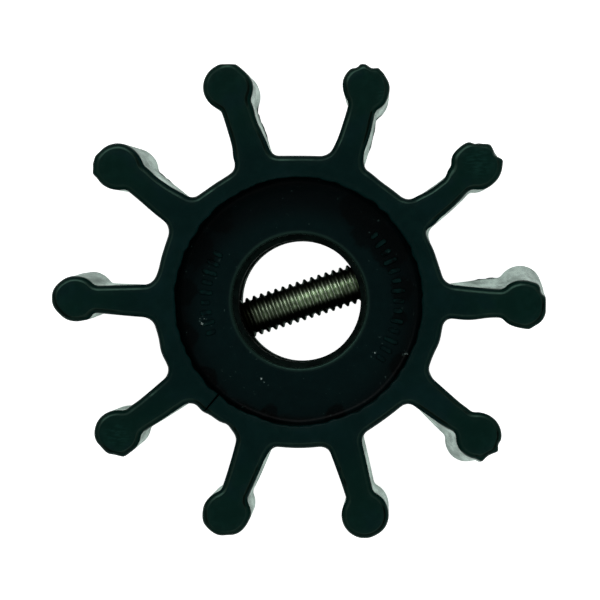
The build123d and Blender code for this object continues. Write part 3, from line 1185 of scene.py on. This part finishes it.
def raise_flash(push, places, normals, rubber, recess_radius):
    """Add to push the thin flash that stands out along the back edges in a few places."""
    crest = FLASH_RISE + rubber.edge_round - HALF_WIDTH
    outside = np.hypot(*places[:, :2].T) > recess_radius + 1.0 * MM
    on_crest = (np.abs(places[:, 2] - crest) < 0.3 * FLASH_RISE) & outside
    spots = np.array(FLASH_SPOTS) * MM
    for index in np.flatnonzero(on_crest):
        away = np.hypot(*(places[index, :2] - spots[:, :2]).T) / spots[:, 2]
        torn = np.clip(0.7 + 1.5 * noise.noise(Vector(places[index]) / (0.7 * MM)), 0, 1)
        amount = rubber.back_flash * torn * np.clip(2.5 * (1 - away.min()), 0, 1)
        push[index] += amount * normals[index] / hypot(*normals[index])


def read_vectors(collection, name):
    """One vector of every corner of a mesh, as rows of three numbers."""
    flat = np.empty(len(collection) * 3, dtype=np.float32)
    collection.foreach_get(name, flat)
    return flat.reshape(-1, 3).astype(float)


def weather(piece, rubber):
    """Move the moulded skin by the dents, humps and flash that the used rubber has."""
    mesh = piece.data
    places = read_vectors(mesh.vertices, "co")
    normals = read_vectors(mesh.vertices, "normal")[:, :2]
    share = 0.5 - places[:, 2] / (2 * HALF_WIDTH)
    bulbs = bulb_centres(rubber, share)
    recess_radius = rubber.hub_across_flats / 2 - rubber.rim_wall

    push = np.zeros((len(places), 2))
    swell_bulbs(push, places, rubber, bulbs, share)
    dent_skin(push, places, rubber, bulbs)
    chip_recess_edge(push, places, recess_radius)
    raise_flash(push, places, normals, rubber, recess_radius)
    places[:, :2] += push
    # clip every corner to the imported model's box; nothing may stand out past the
    # imported model
    places = np.clip(places, np.array(RUBBER_LOW), np.array(RUBBER_HIGH))
    mesh.vertices.foreach_set("co", places.astype(np.float32).ravel())
    mesh.update()


def mark_mesh(rubber):
    """One raised mould mark: a short bar with round ends, along +X, that starts below z = 0."""
    radius = rubber.mark_width / 2
    middle = rubber.mark_length / 2 - radius
    rim = [
        (middle + radius * cos(turn), radius * sin(turn))
        for turn in np.linspace(-pi / 2, pi / 2, MARK_END_STEPS + 1)
    ]
    rim += [(-px, -py) for px, py in rim]
    # share of the full width and height of each row, from the buried foot to the narrower top
    rows = ((1.0, -0.1 * MM), (1.0, 0.55 * rubber.mark_height), (0.72, rubber.mark_height))
    corners = []
    for share, height in rows:
        inset = radius * (1 - share)
        for px, py in rim:
            corners.append((px - inset * (1 if px > 0 else -1), py * share, height))
    count = len(rim)
    faces = [tuple(range(count))[::-1], tuple(len(corners) - count + i for i in range(count))]
    for row in range(len(rows) - 1):
        for index in range(count):
            beside = (index + 1) % count
            faces.append((
                row * count + index, row * count + beside,
                (row + 1) * count + beside, (row + 1) * count + index,
            ))
    return mesh_from("mould_mark", corners, faces)


def mark_tree():
    """Spreads bars of uneven length along the arcs of the recess's floor, pointing at the bore."""
    inputs = [
        ("Mark", "NodeSocketObject"), ("Finish", "NodeSocketMaterial"),
        ("Height", "NodeSocketFloat"), ("Pitch", "NodeSocketFloat"),
    ]
    for label in MARK_ARCS:
        inputs += [
            (label + " radius", "NodeSocketFloat"), (label + " start", "NodeSocketFloat"),
            (label + " sweep", "NodeSocketFloat"),
        ]
    tree, g, entry = new_geometry_tree("recess_marks", inputs)
    bar = g.node("GeometryNodeObjectInfo", feeds={"Object": entry.other("Mark")}, out="Geometry")
    index = g.node("GeometryNodeInputIndex")
    joined = g.node("GeometryNodeJoinGeometry")
    for label in MARK_ARCS:
        radius, sweep = entry.other(label + " radius"), entry.other(label + " sweep")
        count = g.math("FLOOR", radius * sweep / entry.other("Pitch"))
        line = g.node("GeometryNodeMeshLine", feeds={"Count": count})
        angle = entry.other(label + " start") + index * (entry.other("Pitch") / radius)
        place = g.node("ShaderNodeCombineXYZ", feeds={
            "X": radius * g.math("COSINE", angle), "Y": radius * g.math("SINE", angle),
            "Z": entry.other("Height"),
        })
        line = g.node("GeometryNodeSetPosition", feeds={"Geometry": line, "Position": place})
        turn = g.node("ShaderNodeCombineXYZ", feeds={"Z": angle})
        uneven = 0.62 + 0.50 * g.math("FRACT", index * 0.37 + 0.2)
        size = g.node("ShaderNodeCombineXYZ", feeds={"X": uneven, "Y": 1.0, "Z": 1.0})
        bars = g.node("GeometryNodeInstanceOnPoints", feeds={
            "Points": line, "Instance": bar, "Rotation": turn, "Scale": size,
        })
        g.feed(joined.socket.node.inputs["Geometry"], bars)
    end_tree(g, joined, entry)
    return tree


def split_rim(piece, rubber):
    """Cut the short crack that runs across the front rim."""
    apothem = rubber.hub_across_flats / 2
    outer, inner = apothem + 0.6 * MM, apothem - rubber.rim_wall - 0.3 * MM
    wide = 1.6 * SPLIT_HALF
    top = HALF_WIDTH + 0.2 * MM
    corners = [
        (inner, -wide, top), (inner, wide, top), (outer, SPLIT_HALF, top),
        (outer, -SPLIT_HALF, top), (inner, 0, top - SPLIT_DEPTH),
        (outer, 0, top - 0.6 * SPLIT_DEPTH),
    ]
    faces = [(0, 3, 2, 1), (0, 1, 4), (2, 3, 5), (1, 2, 5, 4), (3, 0, 4, 5)]
    wedge = add_object("rim_split", mesh_from("rim_split", corners, faces))
    face_outwards(wedge.data)
    wedge.data.transform(Matrix.Rotation(radians(SPLIT_ANGLE), 4, "Z"))
    cut(piece, wedge)


class IMPELLER_OT_marks(bpy.types.Operator):
    """Raise the plain mould marks on the floor of the front recess"""

    bl_idname = "impeller.marks"
    bl_label = "Recess Marks"

    def execute(self, context):
        rubber = context.scene.impeller_rubber
        bar = add_object("mould_mark", mark_mesh(rubber))
        piece = add_object("recess_marks", bpy.data.meshes.new("recess_marks"))
        values = {
            "Mark": bar, "Finish": bpy.data.materials["moulded_rubber"],
            "Height": HALF_WIDTH - rubber.recess_depth, "Pitch": MARK_PITCH,
        }
        for label, (radius, start, sweep) in MARK_ARCS.items():
            values[label + " radius"] = radius * MM
            values[label + " start"] = radians(start)
            values[label + " sweep"] = radians(sweep)
        run_tree("recess_marks", piece, mark_tree(), values)
        bpy.data.objects.remove(bar)
        shade_by_angle(piece.data, radians(40))
        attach(piece, BODY)
        return {"FINISHED"}


class IMPELLER_OT_rubber(bpy.types.Operator):
    """Mould the rubber hub with its ring of blades"""

    bl_idname = "impeller.rubber"
    bl_label = "Rubber Body"

    def execute(self, context):
        rubber, bush = context.scene.impeller_rubber, context.scene.impeller_bush
        sector = add_object("blade_sector", sector_mesh(rubber, bush))
        carrier_mesh = bpy.data.meshes.new("impeller_rubber")
        carrier_mesh.from_pydata([(0, 0, 0)] * rubber.blade_count, [], [])
        blades = range(rubber.blade_count)
        sets = [BLADE_SETS[blade % len(BLADE_SETS)] for blade in blades]
        columns = {"turn": [blade * 2 * pi / rubber.blade_count for blade in blades]}
        for column, name in enumerate(TREE_COLUMNS):
            columns[name] = [row[column] * MM for row in sets]
        for name, values in columns.items():
            attribute = carrier_mesh.attributes.new(name, "FLOAT", "POINT")
            attribute.data.foreach_set("value", values)
        piece = add_object("impeller_rubber", carrier_mesh)
        finish = rubber_material(rubber)
        apothem = rubber.hub_across_flats / 2
        run_tree("blade_ring", piece, blade_tree(), {
            "Sector": sector, "Finish": finish, "Width": 2 * HALF_WIDTH, "Root radius": apothem,
            "Reach": rubber.tip_diameter / 2 - rubber.bulb_diameter / 2 - apothem,
        })
        bpy.data.objects.remove(sector)
        weather(piece, rubber)
        split_rim(piece, rubber)
        shade_by_angle(piece.data, radians(50))
        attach(piece, BODY)
        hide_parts("rubber_body")
        return {"FINISHED"}


# ---------------------------------------------------------------- bush

def bush_mesh(bush, blade_count):
    """The bush without its cross hole: rings of corners round the outside, then up the bore."""
    half_pitch = pi / blade_count
    one = flute_columns(bush, half_pitch)[:-1]
    angles = np.concatenate([one + blade * 2 * half_pitch for blade in range(blade_count)])
    skin = np.array([flute_radius_at(bush, angle) for angle in one] * blade_count)
    end = BUSH_HALF_LENGTH
    shoulder = end - bush.chamfer
    relief = SCREW_RADIUS + bush.relief_margin
    inner = [(BORE_RADIUS + bush.chamfer, end), (BORE_RADIUS, shoulder)]
    inner += [(BORE_RADIUS, z) for z in np.linspace(shoulder, relief, LAND_ROWS)[1:]]
    inner += [(BORE_RADIUS + bush.relief_depth, relief)]
    inner += [(r, -z) for r, z in reversed(inner)]
    rows = [
        [(r - shrink, height) for r in skin]
        for height, shrink in ((-shoulder, 0.0), (shoulder, 0.0), (end, bush.chamfer))
    ]
    rows += [[(r, z)] * len(angles) for r, z in inner]
    rows.append([(r - bush.chamfer, -end) for r in skin])
    corners = []
    for row in rows:
        corners += [(r * cos(a), r * sin(a), z) for (r, z), a in zip(row, angles)]
    columns = len(angles)
    faces = []
    for row in range(len(rows)):
        following = (row + 1) % len(rows)
        for column in range(columns):
            beside = (column + 1) % columns
            faces.append((
                row * columns + column, row * columns + beside,
                following * columns + beside, following * columns + column,
            ))
    return mesh_from("impeller_bush", corners, faces)


def across_bore(screw):
    """The turn that lays a shape built along Z into the screw's place across the bore."""
    return Matrix.Rotation(screw.turn, 4, "Z") @ Matrix.Rotation(pi / 2, 4, "Y")


class IMPELLER_OT_bush(bpy.types.Operator):
    """Turn the bush with its bore, relief, key flutes and cross hole"""

    bl_idname = "impeller.bush"
    bl_label = "Hub Bush"

    def execute(self, context):
        scene = context.scene
        bush = scene.impeller_bush
        piece = add_object(
            "impeller_bush", bush_mesh(bush, scene.impeller_rubber.blade_count)
        )
        hole = plain_shape("screw_hole", lambda work: bmesh.ops.create_cone(
            work, cap_ends=True, segments=THREAD_SIDES,
            radius1=SCREW_RADIUS, radius2=SCREW_RADIUS, depth=2.2 * BUSH_RADIUS,
        ))
        hole.data.transform(across_bore(scene.impeller_screw))
        cut(piece, hole)
        shade_by_angle(piece.data, radians(32))
        piece.data.materials.clear()
        piece.data.materials.append(bush_material(bush))
        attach(piece, BODY)
        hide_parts("hub_insert")
        return {"FINISHED"}


# ---------------------------------------------------------------- screw

def thread_tree():
    """Wraps a grid into a threaded rod along Z with chamfered, closed ends."""
    tree, g, entry = new_geometry_tree("threaded_rod", (
        ("Radius", "NodeSocketFloat"), ("Length", "NodeSocketFloat"), ("Pitch", "NodeSocketFloat"),
        ("Thread depth", "NodeSocketFloat"), ("End chamfer", "NodeSocketFloat"),
        ("Sides", "NodeSocketInt"), ("Rows", "NodeSocketInt"), ("Finish", "NodeSocketMaterial"),
    ))
    radius, length, pitch = entry.other("Radius"), entry.other("Length"), entry.other("Pitch")
    depth, chamfer = entry.other("Thread depth"), entry.other("End chamfer")
    grid = g.node("GeometryNodeMeshGrid", feeds={
        "Size X": 1.0, "Size Y": 1.0, "Vertices X": entry.other("Sides"),
        "Vertices Y": entry.other("Rows"),
    }, out="Mesh")
    x, y, _ = g.parts(g.node("GeometryNodeInputPosition"))
    # rows past either end of the rod lie in the end's own plane and run in to its middle
    spare = 0.06
    row = y * (1.0 + 2.0 * spare)
    beyond = g.clamp((g.math("ABSOLUTE", row) - 0.5) / spare)
    along = g.clamp(row, -0.5, 0.5) * length
    # a whole number of turns keeps what FRACT is taken of above zero
    turns = along / pitch - x + 64.0
    phase = g.math("ABSOLUTE", g.math("FRACT", turns) - 0.5) * 2.0
    groove = g.step(phase, 0.16, 0.86)
    threaded = radius - depth * (1.0 - groove)
    to_end = length * 0.5 - g.math("ABSOLUTE", along)
    ended = (radius - chamfer + to_end) * (1.0 - beyond)
    skin = g.math("MINIMUM", threaded, ended)
    angle = x * (2 * pi)
    place = g.node("ShaderNodeCombineXYZ", feeds={
        "X": skin * g.math("COSINE", angle), "Y": skin * g.math("SINE", angle), "Z": along,
    })
    shape = g.node("GeometryNodeSetPosition", feeds={"Geometry": grid, "Position": place})
    shape = g.node(
        "GeometryNodeMergeByDistance", feeds={"Geometry": shape, "Distance": MERGE_DISTANCE}
    )
    end_tree(g, shape, entry)
    return tree


class IMPELLER_OT_screw(bpy.types.Operator):
    """Cut the drive screw with its thread, chamfered ends and driver slot"""

    bl_idname = "impeller.screw"
    bl_label = "Drive Screw"

    def execute(self, context):
        screw = context.scene.impeller_screw
        piece = add_object("impeller_screw", bpy.data.meshes.new("impeller_screw"))
        run_tree("threaded_rod", piece, thread_tree(), {
            "Radius": SCREW_RADIUS, "Length": screw.length, "Pitch": screw.pitch,
            "Thread depth": screw.thread_depth, "End chamfer": screw.end_chamfer,
            "Sides": THREAD_SIDES + 1, "Rows": THREAD_ROWS, "Finish": screw_material(screw),
        })
        face_outwards(piece.data)
        slot = plain_shape("driver_slot", lambda work: bmesh.ops.create_cube(work, size=1.0))
        slot.data.transform(
            Matrix.Translation((0, 0, screw.length / 2))
            @ Matrix.Diagonal((screw.slot_width, 3 * SCREW_RADIUS, 2 * screw.slot_depth, 1))
        )
        cut(piece, slot)
        piece.data.transform(across_bore(screw))
        shade_by_angle(piece.data, radians(40))
        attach(piece, BODY)
        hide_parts("drive_screw")
        return {"FINISHED"}


# ---------------------------------------------------------------- stage

def bounced_rays(rays):
    """1 for rays that a surface has mirrored or bent, from any output of a Light Path node."""
    return rays.other("Is Glossy Ray") + rays.other("Is Transmission Ray")


def studio_floor(stage):
    """A wide white floor that glows towards the camera, just below the impeller."""
    floor = plain_shape("studio_floor", lambda work: bmesh.ops.create_grid(
        work, x_segments=1, y_segments=1, size=FLOOR_HALF
    ))
    floor.location.z = CAD_BOX[0].z - FLOOR_DROP
    material, g = new_material("floor_paper")
    rays = g.node("ShaderNodeLightPath", out="Is Camera Ray")
    matt = g.node("ShaderNodeBsdfDiffuse", feeds={"Color": tuple(stage.floor_colour)})
    tint = g.mix(rays.other("Is Glossy Ray"), (1, 1, 1), (0.70, 0.97, 0.84))
    strength = 0.94 * rays + 0.84 * bounced_rays(rays)
    glow = g.node("ShaderNodeEmission", feeds={"Color": tint, "Strength": strength})
    surface = g.node("ShaderNodeAddShader", feeds={0: matt, 1: glow})
    g.node("ShaderNodeOutputMaterial", feeds={"Surface": surface})
    floor.data.materials.append(material)


def softbox(name, place, width, height, power, mirrored):
    """An oblong lamp that looks at the origin, its width level."""
    light = bpy.data.lights.new(name, "AREA")
    light.shape = "RECTANGLE"
    light.size = width
    light.size_y = height
    light.energy = power
    lamp = add_object(name, light)
    lamp.location = place
    lamp.rotation_euler = (Vector() - Vector(place)).to_track_quat("-Z", "Y").to_euler()
    lamp.visible_glossy = mirrored


def studio_world():
    """A white world to the camera and low down, and nearly dark for everything else."""
    world = bpy.data.worlds.new("studio_world")
    world.use_nodes = True
    world.node_tree.nodes.clear()
    g = Graph(world.node_tree)
    rays = g.node("ShaderNodeLightPath", out="Is Camera Ray")
    way = g.node("ShaderNodeTexCoord", out="Generated")
    low = 1.0 - g.step(g.parts(way)[2], 0.06, 0.20)
    seen = g.clamp(rays + bounced_rays(rays) * low)
    backdrop = g.node(
        "ShaderNodeBackground", feeds={"Color": (1, 1, 1), "Strength": 0.025 + 0.975 * seen}
    )
    g.node("ShaderNodeOutputWorld", feeds={"Surface": backdrop})
    return world


def level_aim(sight):
    """Turn of a camera that looks down along a sight line with +Y kept upright in the picture."""
    back = -sight.normalized()
    right = Vector((0, 1, 0)).cross(back).normalized()
    up = back.cross(right)
    return Matrix((right, up, back)).transposed().to_euler()


def studio_camera(stage):
    """The camera over the front face, aimed at the middle of what the picture shows."""
    lens = bpy.data.cameras.new("studio_camera")
    camera = add_object("studio_camera", lens)
    foot = Vector((stage.camera_foot_x, stage.camera_foot_y, HALF_WIDTH))
    camera.location = foot + Vector((0, 0, stage.camera_distance))
    sight = Vector((stage.camera_aim_x, stage.camera_aim_y, HALF_WIDTH)) - camera.location
    camera.rotation_euler = level_aim(sight)
    lens.lens_unit = "FOV"
    lens.angle = 2 * atan2(stage.picture_width / 2, sight.length)
    lens.clip_start = 0.01
    lens.clip_end = 20
    return camera


class IMPELLER_OT_stage(bpy.types.Operator):
    """Set the floor, the lamps, the world and the camera"""

    bl_idname = "impeller.stage"
    bl_label = "Studio Stage"

    def execute(self, context):
        scene = context.scene
        studio_floor(scene.impeller_stage)
        for lamp in LAMPS:
            softbox(*lamp)
        scene.world = studio_world()
        scene.camera = studio_camera(scene.impeller_stage)
        scene.view_settings.view_transform = "Standard"
        return {"FINISHED"}


class IMPELLER_PT_sidebar(bpy.types.Panel):
    """Lists the impeller's sizes, colours and steps"""

    bl_idname = "IMPELLER_PT_sidebar"
    bl_label = "Pump Impeller"
    bl_space_type = "VIEW_3D"
    bl_region_type = "UI"
    bl_category = "Impeller"

    def draw(self, context):
        for operator, group in STEPS:
            box = self.layout.box()
            box.operator(operator.bl_idname)
            settings = getattr(context.scene, group)
            for name in settings.__annotations__:
                box.prop(settings, name)


STEPS = (
    (IMPELLER_OT_rubber, "impeller_rubber"),
    (IMPELLER_OT_marks, "impeller_rubber"),
    (IMPELLER_OT_bush, "impeller_bush"),
    (IMPELLER_OT_screw, "impeller_screw"),
    (IMPELLER_OT_stage, "impeller_stage"),
)
GROUPS = {
    "impeller_rubber": ImpellerRubber,
    "impeller_bush": ImpellerBush,
    "impeller_screw": ImpellerScrew,
    "impeller_stage": ImpellerStage,
}
CLASSES = (*GROUPS.values(), *(operator for operator, _ in STEPS), IMPELLER_PT_sidebar)


def register():
    """Make the classes known and hang the settings on the scene."""
    for cls in CLASSES:
        bpy.utils.register_class(cls)
    for name, group in GROUPS.items():
        setattr(bpy.types.Scene, name, bpy.props.PointerProperty(type=group))


def unregister():
    """Undo what register did, in reverse."""
    for name in GROUPS:
        delattr(bpy.types.Scene, name)
    for cls in reversed(CLASSES):
        bpy.utils.unregister_class(cls)


def main():
    """Build every piece and the stage."""
    register()
    bpy.ops.impeller.rubber()
    bpy.ops.impeller.marks()
    bpy.ops.impeller.bush()
    bpy.ops.impeller.screw()
    bpy.ops.impeller.stage()


if __name__ == "__main__":
    main()
